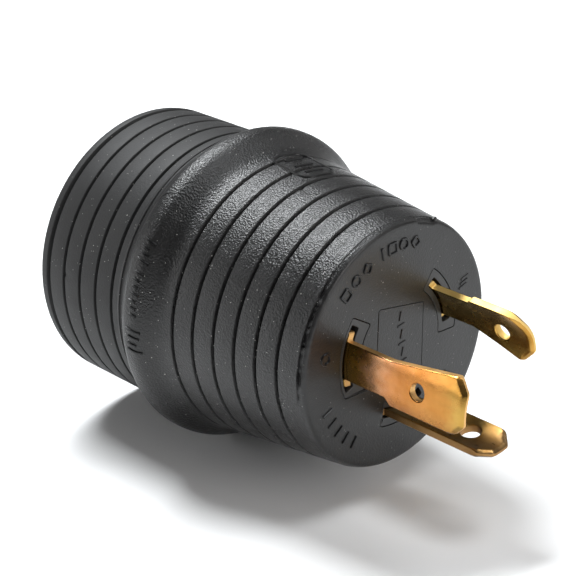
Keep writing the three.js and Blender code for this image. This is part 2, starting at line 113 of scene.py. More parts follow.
# ------------------------------------------------------------------ camera
def make_camera():
    """Camera as solved from the photograph, level from side to side."""
    turn, tilt = CAMERA_AZIMUTH, CAMERA_ELEVATION
    back = Vector((math.sin(turn) * math.cos(tilt), -math.cos(turn) * math.cos(tilt), math.sin(tilt)))
    right = Vector((math.cos(turn), math.sin(turn), 0))
    up = back.cross(right)
    data = bpy.data.cameras.new("camera")
    data.sensor_width = CAMERA_SENSOR
    data.lens = CAMERA_LENS
    data.clip_start, data.clip_end = 0.01, 20
    camera = bpy.data.objects.new("camera", data)
    bpy.context.scene.collection.objects.link(camera)
    camera.matrix_world = Matrix((right, up, back)).transposed().to_4x4()
    camera.location = CAMERA_PLACE * MM
    bpy.context.scene.camera = camera


make_camera()


# ------------------------------------------------------------------ mesh helpers
def crossings(point, loop):
    """How often a level ray from the point crosses a closed loop."""
    x, y = point
    count = 0
    for a, b in zip(loop, loop[1:] + loop[:1]):
        if (a.y > y) != (b.y > y) and x < (b.x - a.x) * (y - a.y) / (b.y - a.y) + a.x:
            count += 1
    return count


class Shell:
    """Collects rings of points and the faces between them, in millimetres."""

    def __init__(self):
        self.points = []
        self.faces = []
        self.tones = []
        self.tone = 0

    def face(self, *corners):
        self.faces.append(corners)
        self.tones.append(self.tone)

    def ring(self, points):
        start = len(self.points)
        self.points.extend(Vector(p) for p in points)
        return list(range(start, len(self.points)))

    def loft(self, a, b):
        count = len(a)
        for i in range(count):
            j = (i + 1) % count
            self.face(a[i], a[j], b[j], b[i])

    def lofts(self, rings):
        for a, b in zip(rings, rings[1:]):
            self.loft(a, b)

    def tube(self, rings):
        """Lofts the rings and closes both ends with one face each."""
        self.lofts(rings)
        self.face(*rings[0])
        self.face(*reversed(rings[-1]))

    def across(self, v):
        """A point's coordinates in the plane across the axis."""
        return self.points[v].y, self.points[v].z

    def cap(self, rings, flat, extra=()):
        """Fills the area bounded by the rings. flat gives a ring point's plane coordinates."""
        index = [v for ring in rings for v in ring]
        flats = [Vector(flat(v)) for v in index]
        for point, position in extra:
            index.append(self.ring([position])[0])
            flats.append(Vector(point))
        edges, loops, start = [], [], 0
        for ring in rings:
            count = len(ring)
            edges += [(start + i, start + (i + 1) % count) for i in range(count)]
            loops.append(flats[start:start + count])
            start += count
        places, _, faces, origins = delaunay_2d_cdt(flats, edges, [], 1, 1e-7)[:4]
        for face in faces:
            corners = [origins[v][0] for v in face if origins[v]]
            if len(corners) == len(face):
                middle = sum((places[v] for v in face), Vector((0, 0))) / len(face)
                if sum(crossings(middle, loop) for loop in loops) % 2:
                    self.face(*(index[c] for c in corners))

    def build(self, name, materials, replaces=(), sharp=40):
        """Makes the piece. Each face takes the material that its tone counts to."""
        mesh = bpy.data.meshes.new(name)
        mesh.from_pydata([p * MM for p in self.points], [], self.faces)
        for polygon, tone in zip(mesh.polygons, self.tones):
            polygon.material_index = tone
        work = bmesh.new()
        work.from_mesh(mesh)
        bmesh.ops.remove_doubles(work, verts=work.verts, dist=1e-8)
        loose = [v for v in work.verts if not v.link_faces]
        bmesh.ops.delete(work, geom=loose, context="VERTS")
        bmesh.ops.recalc_face_normals(work, faces=work.faces)
        work.to_mesh(mesh)
        work.free()
        mesh.shade_smooth()
        mesh.set_sharp_from_angle(angle=math.radians(sharp))
        for material in materials:
            mesh.materials.append(material)
        piece = bpy.data.objects.new(name, mesh)
        bpy.context.scene.collection.objects.link(piece)
        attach(piece, "root")
        if replaces:
            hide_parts(*replaces)


def polar(radius, degrees):
    a = math.radians(degrees)
    return radius * math.cos(a), radius * math.sin(a)


def rounded_path(points, closed=False, steps=4):
    """Polyline of (a, b, radius): each corner with a radius becomes a short arc."""
    count = len(points)
    out = []
    for i, (a, b, radius) in enumerate(points):
        here = Vector((a, b))
        ends = not closed and i in (0, count - 1)
        if radius <= 0 or ends:
            out.append(here)
            continue
        before = Vector(points[i - 1][:2]) - here
        after = Vector(points[(i + 1) % count][:2]) - here
        angle = before.angle(after)
        if angle > math.radians(178):
            out.append(here)
            continue
        reach = radius / math.tan(angle / 2)
        reach = min(reach, before.length * 0.49, after.length * 0.49)
        radius = reach * math.tan(angle / 2)
        start = here + before.normalized() * reach
        inward = (before.normalized() + after.normalized()).normalized()
        centre = here + inward * (radius / math.sin(angle / 2))
        first = start - centre
        sweep = math.pi - angle
        turn = 1 if first.x * (here - centre).y - first.y * (here - centre).x > 0 else -1
        for k in range(steps + 1):
            t = turn * sweep * k / steps
            out.append(centre + Vector((first.x * math.cos(t) - first.y * math.sin(t),
                                        first.x * math.sin(t) + first.y * math.cos(t))))
    return out


class Outline:
    """Closed plane outline that can be offset; positive moves outward."""

    def __init__(self, points):
        self.points = [Vector(p) for p in points]
        area = sum(a.x * b.y - a.y * b.x for a, b in zip(self.points, self.points[1:] + self.points[:1]))
        if area < 0:
            self.points.reverse()
        self.normals = []
        count = len(self.points)
        for i, p in enumerate(self.points):
            a = (p - self.points[i - 1]).normalized()
            b = (self.points[(i + 1) % count] - p).normalized()
            n = Vector((a.y, -a.x)) + Vector((b.y, -b.x))
            n.normalize()
            n /= max(0.6, n.dot(Vector((a.y, -a.x))))
            self.normals.append(n)

    def at(self, offset):
        if callable(offset):
            return [p + n * offset(p) for p, n in zip(self.points, self.normals)]
        return [p + n * offset for p, n in zip(self.points, self.normals)]


def sector_outline(inner, outer, start, end, start_out=None, end_out=None, corner=0.4):
    """Ring sector about the axis with rounded corners, in (y, z); its arcs may differ in span."""
    pitch = 1.6
    points = []
    out = (start if start_out is None else start_out, end if end_out is None else end_out)
    for radius, a, b in ((outer, *out), (inner, end, start)):
        keep = math.degrees(corner * 2.2 / radius) * (1 if b > a else -1)
        points.append((*polar(radius, a), corner))
        n = max(3, int(abs(b - a) / pitch))
        for i in range(n + 1):
            t = (a + keep) + (b - a - 2 * keep) * i / n
            points.append((*polar(radius, t), 0))
        points.append((*polar(radius, b), corner))
    return Outline(rounded_path(points, closed=True))


def ring_path(u, v, radius, count=24):
    """Circle about (u, v)."""
    return [(u + radius * math.cos(2 * math.pi * i / count), v + radius * math.sin(2 * math.pi * i / count))
            for i in range(count)]


def box_path(u, v, width, height, corner, turn=0, steps=6):
    """Turned rectangle about (u, v) with rounded corners."""
    cos, sin = math.cos(math.radians(turn)), math.sin(math.radians(turn))
    points = []
    for s, t in ((-1, -1), (1, -1), (1, 1), (-1, 1)):
        p, q = s * width / 2, t * height / 2
        points.append((u + p * cos - q * sin, v + p * sin + q * cos, corner))
    return [tuple(p) for p in rounded_path(points, closed=True, steps=steps)]


def bar_path(u, v, length, turn):
    """Straight path with its middle at (u, v)."""
    a, half, steps = math.radians(turn), length / 2, 6
    return [(u + t * half * math.cos(a), v + t * half * math.sin(a))
            for t in [-1 + 2 * i / steps for i in range(steps + 1)]]


def circle_outline(radius, count, y=0.0, z=0.0):
    return Outline(ring_path(y, z, radius, count))


def strip_slot(blade, low, high, room):
    """Slot for a blade's curved strip; low and high are across its middle line."""
    inner = BLADE_MID - BLADE_THICK / 2 - room
    outer = BLADE_MID + BLADE_THICK / 2 + room
    a, b = (blade["angle"] + math.degrees(math.asin(v / BLADE_MID)) for v in (low, high))
    return sector_outline(inner, outer, a, b, corner=0.35)


def lip_steps(lip):
    """(offset, depth) of a rounded edge, from the face inwards."""
    return [(lip * (1 - math.sin(t)), lip * (1 - math.cos(t)))
            for t in (math.pi / 2 * k / 4 for k in range(5))]


def plate(shell, outer, holes, x_back, x_front, lip, edge):
    """Closed plate across the axis, rounded along its outer edge and along the lips of its holes."""
    fronts, backs = [], []
    for outline, sign, size in [(outer, -1, edge)] + [(h, 1, lip) for h in holes]:
        margin = 0.25 if size > 0.12 else 0.10
        path = [(size + margin, 0)] + lip_steps(size)
        rings = [shell.ring([(x_front - d, *p) for p in outline.at(sign * o)]) for o, d in path]
        rings += [shell.ring([(x_back + d, *p) for p in outline.at(sign * o)]) for o, d in reversed(path)]
        shell.lofts(rings)
        fronts.append(rings[0])
        backs.append(rings[-1])
    shell.cap(fronts, shell.across)
    shell.cap(backs, shell.across)


def revolve(shell, profile, segments=SEGMENTS, centre=(0.0, 0.0), shape=None):
    """Rings of a profile of (x, r) about the X axis. shape may move each point."""
    rings = []
    for x, r in profile:
        points = []
        for i in range(segments):
            t = 2 * math.pi * i / segments
            px, pr = shape(x, r, t) if shape else (x, r)
            points.append((px, centre[0] + pr * math.cos(t), centre[1] + pr * math.sin(t)))
        rings.append(shell.ring(points))
    shell.lofts(rings)
    return rings


def tube(shell, x0, x1, outer, inner, centre):
    """Round tube along X with rounded ends."""
    lip = 0.2
    profile = [(x0, inner + lip), (x0, outer - lip), (x0 + lip, outer), (x1 - lip, outer),
               (x1, outer - lip), (x1, inner + lip), (x1 - lip, inner), (x0 + lip, inner)]
    rounded = [tuple(p) for p in rounded_path([(x, r, 0.08) for x, r in profile], closed=True, steps=2)]
    rings = revolve(shell, rounded, 32, centre)
    shell.loft(rings[-1], rings[0])


def sweep_relief(shell, place, path, width, height, closed=False):
    """Low rounded ridge along a plane path; place(u, v, h) puts it on a surface."""
    section = [(-0.5, -RELIEF_SINK), (-0.46, height * 0.55), (-0.3, height * 0.95), (0, height),
               (0.3, height * 0.95), (0.46, height * 0.55), (0.5, -RELIEF_SINK)]
    count = len(path)
    rings = []
    for i, p in enumerate(path):
        p = Vector(p)
        a = Vector(path[i - 1]) if (closed or i) else p
        b = Vector(path[(i + 1) % count]) if (closed or i < count - 1) else p
        along = (b - a).normalized()
        side = Vector((along.y, -along.x))
        rings.append(shell.ring([place(*(p + side * s * width), h) for s, h in section]))
    if closed:
        shell.lofts(rings + rings[:1])
    else:
        shell.tube(rings)


# ------------------------------------------------------------------ materials
class Nodes:
    """Short-hand for building a material's node tree."""

    def __init__(self, name):
        self.material = bpy.data.materials.new(name)
        self.material.use_nodes = True
        self.tree = self.material.node_tree
        self.shader = self.tree.nodes["Principled BSDF"]
        self.coords = self.tree.nodes.new("ShaderNodeTexCoord").outputs["Object"]

    def add(self, kind, **inputs):
        node = self.tree.nodes.new("ShaderNode" + kind)
        for key, value in inputs.items():
            if hasattr(node, key) and key not in node.inputs:
                setattr(node, key, value)
            else:
                self.put(node.inputs[key], value)
        return node

    def put(self, socket, value):
        if isinstance(value, bpy.types.NodeSocket):
            self.tree.links.new(value, socket)
        else:
            socket.default_value = value

    def noise(self, scale, detail, rough=0.5, vector=None):
        node = self.add("TexNoise", Scale=scale, Detail=detail, Roughness=rough)
        self.put(node.inputs["Vector"], vector or self.coords)
        return node.outputs["Fac"]

    def voronoi(self, scale):
        node = self.add("TexVoronoi", Scale=scale, Vector=self.coords)
        return node.outputs["Distance"]

    def ramp(self, value, stops):
        node = self.add("ValToRGB")
        self.put(node.inputs["Fac"], value)
        ramp = node.color_ramp
        while len(ramp.elements) < len(stops):
            ramp.elements.new(0.5)
        for element, (position, color) in zip(ramp.elements, stops):
            element.position = position
            element.color = (*color, 1)
        return node.outputs["Color"]

    def grade(self, value, low, high, start=0.0, end=1.0):
        """Takes start..end to low..high."""
        node = self.add("MapRange")
        self.put(node.inputs["Value"], value)
        for key, v in (("From Min", start), ("From Max", end), ("To Min", low), ("To Max", high)):
            self.put(node.inputs[key], v)
        return node.outputs["Result"]

    def mix(self, factor, a, b, mode="MIX"):
        node = self.add("Mix", data_type="RGBA", blend_type=mode)
        self.put(node.inputs[0], factor)
        for socket, value in ((node.inputs[6], a), (node.inputs[7], b)):
            self.put(socket, value if isinstance(value, bpy.types.NodeSocket) else (*value, 1))
        return node.outputs[2]

    def math(self, operation, a, b):
        node = self.add("Math", operation=operation)
        self.put(node.inputs[0], a)
        self.put(node.inputs[1], b)
        return node.outputs[0]

    def bump(self, height, strength, distance, normal=None):
        node = self.add("Bump", Strength=strength, Distance=distance)
        self.put(node.inputs["Height"], height)
        if normal is not None:
            self.put(node.inputs["Normal"], normal)
        return node.outputs["Normal"]

    def axis(self, name):
        node = self.add("SeparateXYZ")
        self.put(node.inputs[0], self.coords)
        return node.outputs[name]

    def finish(self, color, rough, normal, metallic=0.0, specular=0.5):
        self.put(self.shader.inputs["Base Color"], color)
        self.put(self.shader.inputs["Roughness"], rough)
        self.put(self.shader.inputs["Metallic"], metallic)
        self.put(self.shader.inputs["Specular IOR Level"], specular)
        self.put(self.shader.inputs["Normal"], normal)
        return self.material


def soft_pvc():
    """Moulded PVC: leathery grain on the sides, smoother on the plug face, a little dust.

    The zones are shares from 0 to 1 along the axis, which the texture coordinates give in metres.
    """
    n = Nodes("overmould_pvc")
    on_face = n.grade(n.axis("X"), 0.0, 1.0, -0.0009, -0.0001)
    crest = n.grade(n.axis("X"), 1.0, 0.0, -0.0398, -0.0366)
    behind = n.grade(n.axis("X"), 1.0, 0.0, -0.0445, -0.0415)

    side = n.ramp(n.noise(120, 4, 0.6), [
        (0.25, (0.0055, 0.0054, 0.0055)), (0.75, (0.0095, 0.0092, 0.0093))])
    face = n.ramp(n.noise(60, 3), [
        (0.3, (0.0065, 0.0063, 0.0062)), (0.7, (0.0105, 0.0102, 0.0100))])
    color = n.mix(on_face, side, face)
    tiny = n.math("MULTIPLY", n.grade(n.voronoi(1150), 1.0, 0.0, 0.06, 0.10),
                  n.grade(n.noise(420, 1), 0.0, 1.0, 0.47, 0.50))
    small = n.math("MULTIPLY", n.grade(n.voronoi(520), 1.0, 0.0, 0.045, 0.07),
                   n.grade(n.noise(260, 1), 0.0, 1.0, 0.56, 0.59))
    to_front = n.grade(n.axis("X"), 0.55, 1.0, -0.050, -0.036)
    amount = n.math("MULTIPLY", n.grade(on_face, 1.0, 0.45), to_front)
    dust = n.math("MULTIPLY", n.math("MAXIMUM", small, tiny), amount)
    color = n.mix(dust, color, (0.50, 0.49, 0.46))

    fine = n.math("ADD", n.noise(2400, 4, 0.7), n.math("MULTIPLY", n.noise(5600, 2, 0.6), 0.20))
    height = n.math("ADD", n.math("MULTIPLY", n.voronoi(2700), 0.9), fine)
    swell = n.bump(n.noise(75, 2), 0.14, 0.0006)
    normal = n.bump(height, n.grade(n.math("MAXIMUM", on_face, crest), 0.62, 0.20), 0.00014, swell)

    rough = n.grade(n.noise(300, 3), 0.27, 0.34)
    for zone, more in ((on_face, 0.04), (crest, 0.16), (behind, 0.14)):
        rough = n.math("ADD", rough, n.math("MULTIPLY", zone, more))
    rough = n.math("ADD", rough, n.grade(n.noise(38, 3, 0.6), -0.04, 0.05, 0.35, 0.65))
    return n.finish(color, rough, normal, specular=0.46)


def hard_plastic(name, dark, light, rough):
    n = Nodes(name)
    color = n.ramp(n.noise(150, 3), [(0.3, dark), (0.7, light)])
    normal = n.bump(n.noise(900, 3, 0.6), 0.22, 0.00008)
    return n.finish(color, n.grade(n.noise(260, 3), rough - 0.05, rough + 0.07), normal, specular=0.45)


def blade_brass(name, stops, stain, rough=(0.19, 0.30)):
    """Stamped brass: colour drifts along the blade, partly tint and partly painted highlight, with tarnish,
    drawing marks and small stains.
    """
    n = Nodes(name)
    stretch = n.add("Mapping")
    n.put(stretch.inputs["Vector"], n.coords)
    stretch.inputs["Scale"].default_value = (70, 800, 800)
    streaks = n.noise(1.0, 4, 0.6, stretch.outputs["Vector"])
    drift = n.grade(n.noise(190, 3, 0.6), -0.0022, 0.0022, 0.25, 0.75)
    ragged = n.grade(n.noise(900, 2), -0.0007, 0.0007, 0.3, 0.7)
    along = n.math("ADD", n.axis("X"), n.math("ADD", drift, ragged))
    # Ramp along the blade: darker near the base and towards the tip; the brighter middle stops are partly
    # tint and partly painted highlight.
    color = n.ramp(n.grade(along, 0.0, 1.0, 0.0, 0.028), stops)
    mottle = n.grade(n.noise(170, 3, 0.6), 0.0, 0.75, 0.40, 0.64)
    color = n.mix(mottle, color, (0.72, 0.62, 0.44), "MULTIPLY")
    color = n.mix(n.grade(streaks, 0.0, 0.30, 0.45, 0.80), color, stain)
    blot = n.grade(n.noise(230, 3, 0.6), 0.0, 0.30, 0.56, 0.80)
    color = n.mix(blot, color, stain)
    freckles = n.grade(n.noise(1900, 3, 0.7), 0.0, 0.18, 0.64, 0.76)
    color = n.mix(freckles, color, tuple(c * 0.35 for c in stain))
    scratch = n.bump(streaks, 0.10, 0.00007)
    normal = n.bump(n.noise(1700, 3, 0.6), 0.07, 0.00005, scratch)
    return n.finish(color, n.grade(n.noise(420, 3), *rough, 0.3, 0.7), normal, metallic=1.0)


def clean_metal(name, dark, light, rough):
    n = Nodes(name)
    color = n.ramp(n.noise(240, 3), [(0.3, dark), (0.7, light)])
    normal = n.bump(n.noise(1200, 3, 0.6), 0.12, 0.00006)
    return n.finish(color, n.grade(n.noise(500, 3), rough - 0.06, rough + 0.08), normal, metallic=1.0)


def jacket(name, dark, light):
    n = Nodes(name)
    color = n.ramp(n.noise(180, 3), [(0.3, dark), (0.7, light)])
    normal = n.bump(n.noise(1600, 2, 0.5), 0.15, 0.00006)
    return n.finish(color, n.grade(n.noise(300, 2), 0.42, 0.55), normal, specular=0.45)


def polished_pvc_painted_shade():
    """Raised marks, polished in the mould, on a darker base colour than the grained skin as painted shade,
    so they read darker.
    """
    n = Nodes("polished_pvc_painted_shade")
    # The darker base colour is painted shade on the marks; the polish is only the roughness and specular
    # level.
    color = n.ramp(n.noise(400, 3), [(0.3, (0.0035, 0.0035, 0.0037)), (0.7, (0.0065, 0.0065, 0.0067))])
    normal = n.bump(n.noise(1400, 3), 0.12, 0.00006)
    return n.finish(color, n.grade(n.noise(600, 3), 0.24, 0.36), normal, specular=0.38)


PVC = soft_pvc()
POLISHED_PAINTED_SHADE = polished_pvc_painted_shade()
CORE = hard_plastic("core_plastic", (0.018, 0.018, 0.018), (0.027, 0.027, 0.027), 0.40)
FILL = hard_plastic("fill_plastic", (0.010, 0.010, 0.011), (0.018, 0.018, 0.019), 0.6)
# Stops along each blade: the brighter middle ones are partly the brass's tint and partly painted highlight.
BRASS = {
    "ground": blade_brass("ground_brass", [
        (0.00, (0.44, 0.26, 0.07)), (0.12, (0.44, 0.23, 0.035)), (0.19, (0.54, 0.27, 0.10)),
        (0.27, (0.60, 0.32, 0.18)), (0.38, (0.50, 0.22, 0.09)), (0.56, (0.52, 0.22, 0.06)),
        (0.76, (0.46, 0.21, 0.05)), (0.95, (0.48, 0.29, 0.07))], (0.30, 0.17, 0.05)),
    "neutral": blade_brass("neutral_brass", [
        (0.00, (0.52, 0.36, 0.12)), (0.15, (0.60, 0.42, 0.14)), (0.45, (0.66, 0.40, 0.10)),
        (0.70, (0.56, 0.31, 0.07))], (0.26, 0.15, 0.04)),
    "line": blade_brass("line_brass", [
        (0.00, (0.46, 0.32, 0.14)), (0.18, (0.62, 0.38, 0.11)), (0.36, (0.74, 0.40, 0.08)),
        (0.55, (0.40, 0.25, 0.08)), (0.68, (0.27, 0.15, 0.05)), (0.80, (0.24, 0.15, 0.07))],
        (0.34, 0.22, 0.08), (0.25, 0.36)),
}
SHEARED = {
    "ground": clean_metal("ground_edge", (0.62, 0.36, 0.13), (0.76, 0.48, 0.20), 0.48),
    "neutral": clean_metal("neutral_edge", (0.62, 0.42, 0.13), (0.80, 0.58, 0.22), 0.56),
    "line": clean_metal("line_edge", (0.26, 0.14, 0.05), (0.40, 0.23, 0.09), 0.46),
}
CONTACT = clean_metal("contact_brass", (0.70, 0.46, 0.18), (0.82, 0.60, 0.27), 0.28)
STEEL = clean_metal("spring_steel", (0.50, 0.51, 0.53), (0.68, 0.69, 0.71), 0.26)
COPPER = clean_metal("copper", (0.62, 0.27, 0.13), (0.80, 0.40, 0.21), 0.34)
JACKETS = {
    "neutral": jacket("white_jacket", (0.62, 0.61, 0.57), (0.76, 0.75, 0.71)),
    "line": jacket("black_jacket", (0.013, 0.013, 0.014), (0.026, 0.026, 0.028)),
    "ground": jacket("green_jacket", (0.02, 0.13, 0.045), (0.04, 0.20, 0.075)),
}


# ------------------------------------------------------------------ overmoulded body
def plug_radius(x):
    return PLUG_RADIUS - PLUG_TAPER * x


def rise(t, steepness):
    """Smooth step from 0 to 1."""
    a, b = t ** steepness, (1 - t) ** steepness
    return a / (a + b)


def hump_radius(x):
    """Radius of the hump: level at the crest, steep before it, eased into the narrow barrel."""
    if x > HUMP_CREST:
        t = ((HUMP_FRONT - x) / (HUMP_FRONT - HUMP_CREST)) ** 0.93
        foot, s = plug_radius(HUMP_FRONT), rise(t, 1.5 + 1.1 * t)
    else:
        foot, s = SOCKET_RADIUS + HUMP_LIP, rise((x - HUMP_BACK) / (HUMP_CREST - HUMP_BACK), 1.65)
    return foot + (CREST_RADIUS - foot) * s


def hump_points():
    """The rise from the narrow barrel, the crest, the fall behind it and the parting ridge."""
    front_steps, back_steps = 22, 13
    stations = [HUMP_FRONT + (HUMP_CREST - HUMP_FRONT) * i / front_steps for i in range(1, front_steps + 1)]
    stations += [HUMP_CREST + (HUMP_BACK - HUMP_CREST) * i / back_steps for i in range(1, back_steps)]
    low = SOCKET_RADIUS + HUMP_LIP
    ridge = [(HUMP_BACK, low, 0.1), (HUMP_BACK - 0.10, low + 0.24, 0.1),
             (HUMP_BACK - 0.30, low + 0.22, 0.15), (HUMP_BACK - 1.0, SOCKET_RADIUS, 0.5)]
    return [(x, hump_radius(x), 0) for x in stations] + ridge


def groove_points(x, radius, width=GROOVE_WIDTH):
    half = width / 2
    return [(x + half, radius(x + half), 0.16),
            (x + half * 0.45, radius(x) - GROOVE_DEPTH, 0.12),
            (x - half * 0.45, radius(x) - GROOVE_DEPTH, 0.12),
            (x - half, radius(x - half), 0.16)]


def body_profile():
    """(x, radius) from the rim of the plug face, along the outside and back up the bore."""
    corners = [(FACE_X, FACE_EDGE - 1.0, 0), (FACE_X, FACE_EDGE - 0.5, 0), (FACE_X, FACE_EDGE + 0.60, 1.0)]
    for x, bend in ((-1.05, 0.1), (FLASH_X, 0), (-1.40, 0), (-1.5, 0), (-1.8, 0), (-3.4, 0)):
        corners.append((x, plug_radius(x), bend))
    for x in PLUG_GROOVES:
        corners += groove_points(x, plug_radius)
        if x != PLUG_GROOVES[-1]:
            between = x - PLUG_PITCH / 2
            corners.append((between, plug_radius(between), 0))
    corners += hump_points()
    for i, x in enumerate(SOCKET_GROOVES):
        wide = GROOVE_WIDTH * (1.5 if i == len(SOCKET_GROOVES) - 1 else 1.0)
        corners += groove_points(x, lambda v: SOCKET_RADIUS, wide)
        if i < len(SOCKET_GROOVES) - 1:
            corners.append((x - SOCKET_PITCH / 2, SOCKET_RADIUS, 0))
    corners += [(BODY_BACK, SOCKET_RADIUS, 0.9), (BODY_BACK, BORE_RADIUS + 2.0, 0),
                (BODY_BACK, BORE_RADIUS, 0.35), (BODY_BACK + 2.0, BORE_RADIUS, 0),
                (-FACE_WALL - 2.0, BORE_RADIUS, 0), (-FACE_WALL, BORE_RADIUS, 0)]
    return [tuple(p) for p in rounded_path(corners, steps=4)]


random.seed(11)
RAGGED = [random.uniform(0, 1) for _ in range(SEGMENTS)]


def near(angle, centre, width):
    """1 at the centre, falling to 0 at width degrees from it."""
    d = abs((math.degrees(angle) - centre + 180) % 360 - 180)
    return max(0.0, 1 - d / width)


def body_shape(x, r, t):
    """Flash line and ragged trim along the rim of the plug face, the gate's slit, and two nicks."""
    if -1.45 < x <= FACE_X and FACE_EDGE - 0.6 < r < 23.2:
        here = RAGGED[int(round(t / (2 * math.pi) * SEGMENTS)) % SEGMENTS]
        flash = min(1.0, 3 * near(t, *FLASH))
        torn = min(1.0, 2.5 * near(t, *TORN))
        slit = min(1.0, 4 * near(t, *GATE_SLIT))
        if x < -1.0:
            r -= (0.26 + 0.42 * here) * torn
            if abs(x - FLASH_X) < 0.1:
                r += (0.12 + 0.06 * here) * flash * (1 - slit)
        else:
            r += 0.10 * torn * here
            x += 0.05 * torn * here
            r -= 0.42 * slit * (1 if r > FACE_EDGE else 0)
    for groove, angle, width, depth in NICKS:
        if abs(x - groove - 0.3) < 0.35:
            r -= depth * near(t, angle, width)
    return min(x, FACE_X + 0.10), r


def make_body():
    """Overmould with a window round each island and the hairline of a raised panel on the face."""
    shell = Shell()
    rings = revolve(shell, body_profile(), shape=body_shape)
    fronts, backs = [rings[0]], [rings[-1]]
    for blade in BLADES.values():
        outline = Outline(sector_outline(*blade["island"]).at(ISLAND_GAP))
        path = [(0.18, 0)] + lip_steps(0.07) + [(0, FACE_WALL)]
        loops = [shell.ring([(FACE_X - d, *p) for p in outline.at(o)]) for o, d in path]
        shell.lofts(loops)
        fronts.append(loops[0])
        backs.append(loops[-1])
    panel = [(-4.9, 8.2, 0.5), (-5.3, -6.4, 0.5), (6.4, -6.4, 0.5), (6.4, 6.4, 0.5)]
    seam = Outline(rounded_path(panel, closed=True))
    hairline = [(0.28, 0), (0.07, 0), (0.02, 0.06), (0.0, 0.16),
                (-0.06, 0.16), (-0.08, 0.03), (-0.13, -0.02), (-0.35, -0.02)]
    loops = [shell.ring([(FACE_X - d, *p) for p in seam.at(o)]) for o, d in hairline]
    shell.lofts(loops)
    fronts.append(loops[0])
    for area in (fronts, [loops[-1]], backs):
        shell.cap(area, shell.across)
    shell.build("overmould", (PVC,), ("overmould_body",))


make_body()


# ------------------------------------------------------------------ relief marks, all generic
def on_face(u, v, h):
    return (FACE_X + h, u, v)


def skin_radius(x):
    """Radius of the body's side with its grooves filled in."""
    if x > HUMP_FRONT:
        return plug_radius(x)
    return hump_radius(x) if x > HUMP_BACK else SOCKET_RADIUS


def on_side(x0, angle):
    """Places (along, around, height) on the body's side about a station and an angle."""
    def place(u, v, h):
        x = x0 + u
        r = skin_radius(x) + h
        t = math.radians(angle) + v / skin_radius(x0)
        return (x, r * math.cos(t), r * math.sin(t))
    return place


def make_face_marks():
    """Plain bars, boxes, rings and diamonds, raised on the plug face."""
    shell = Shell()
    wide, high = 0.48, 0.26

    def mark(kind, radius, angle):
        y, z = polar(radius, angle)
        if kind == "bar":
            sweep_relief(shell, on_face, bar_path(y, z, 2.3, angle), wide, high)
        elif kind == "ring":
            sweep_relief(shell, on_face, ring_path(y, z, 0.95), wide, high, closed=True)
        else:
            turn = angle + (45 if kind == "diamond" else 0)
            side = 1.5 if kind == "diamond" else 1.9
            sweep_relief(shell, on_face, box_path(y, z, side, side, 0.3, turn), wide, high, closed=True)

    for kind, angle in (("box", 134), ("ring", 124.5), ("diamond", 115)):
        mark(kind, 18.4, angle)
    for kind, angle in (("bar", 103), ("box", 95.5), ("ring", 87), ("diamond", 78)):
        mark(kind, 18.7, angle)
    for angle in (-157, -149, -141, -133, -125):
        mark("bar", 18.4, angle)
    mark("ring", 17.8, 170)
    for d in (-0.8, 0.0, 0.8):
        y, z = polar(18.3, 22.5)
        sweep_relief(shell, on_face, bar_path(y + 0.3 * d, z + d, 2.0, 18), 0.38, 0.2)
    y, z = polar(16.6, -35.6)
    sweep_relief(shell, on_face, bar_path(y, z, 2.0, -30), 0.42, 0.2)
    for i in range(7):
        turn = 10 if i % 2 else 78
        sweep_relief(shell, on_face, bar_path(0.5 + 0.2 * i, 5.4 - 1.75 * i, 1.7, turn), 0.40, 0.18)
    shell.build("face_marks", (POLISHED_PAINTED_SHADE,))


make_face_marks()


def make_trim():
    """Feathered sliver of flash on the rim with the small nub of the gate at its end."""
    shell = Shell()
    start, span, count = 66.8, 13.4, 30
    rings = []
    for i in range(count + 1):
        fade = math.sin(math.pi * min(1.0, 0.12 + 0.9 * i / count)) ** 0.5
        lift = 0.12 + 0.22 * fade * (0.7 + 0.3 * RAGGED[i])
        section = ((-1.30, 22.60), (-1.15, 22.62 + lift), (-0.95, 22.70 + lift),
                   (-0.80, 22.60 + lift * 0.7), (-0.84, 22.20))
        rings.append(shell.ring([(x + 0.05 * RAGGED[i + 40], *polar(r, start + span * i / count))
                                 for x, r in section]))
    shell.tube(rings)

    rows, columns = 7, 12
    y, z = polar(PLUG_RADIUS, start - 0.2)
    for lump, size in ((0, 0.42), (1, 0.26)):
        first = len(shell.points)
        rings = []
        for i in range(rows):
            lat = -math.pi / 2 + math.pi * (i + 0.5) / rows
            ring = []
            for j in range(columns):
                lon = 2 * math.pi * j / columns
                r = size * (0.8 + 0.35 * RAGGED[(first + i * columns + j) % SEGMENTS])
                ring.append((-0.55 + r * math.cos(lat) * math.cos(lon),
                             y + lump * 0.32 + r * math.cos(lat) * math.sin(lon),
                             z + lump * 0.1 + r * math.sin(lat)))
            rings.append(shell.ring(ring))
        shell.tube(rings)
    shell.build("gate_trim", (PVC,))


make_trim()


def make_side_marks():
    """A plain rounded frame with three bars on top, bars round the hump, and a mould arc."""
    shell = Shell()
    top = on_side(-26.0, 84.5)
    sweep_relief(shell, top, box_path(0, 0, 9.6, 8.0, 2.2), 0.5, 0.24, closed=True)
    for u in (-2.6, 0, 2.6):
        sweep_relief(shell, top, bar_path(u, 0, 4.2, 90), 0.6, 0.22)
    side = on_side(-36.3, 168)
    for start, count, long, pace in ((-10.6, 4, 2.5, 1.25), (-4.6, 7, 1.6, 1.3), (6.2, 4, 2.9, 1.35)):
        for i in range(count):
            shift = 0.22 * math.sin(start + i * 2.3)
            length = long * (0.8 + 0.2 * math.cos(i * 1.9))
            turn = 14 + 9 * math.sin(i * 3.1)
            sweep_relief(shell, side, bar_path(shift, start + pace * i, length, turn), 0.5, 0.26)
    arc = [polar(4.2, a) for a in range(200, 262, 6)]
    sweep_relief(shell, on_side(-35.6, 137), arc, 0.2, 0.05)
    shell.build("side_marks", (POLISHED_PAINTED_SHADE,))


make_side_marks()


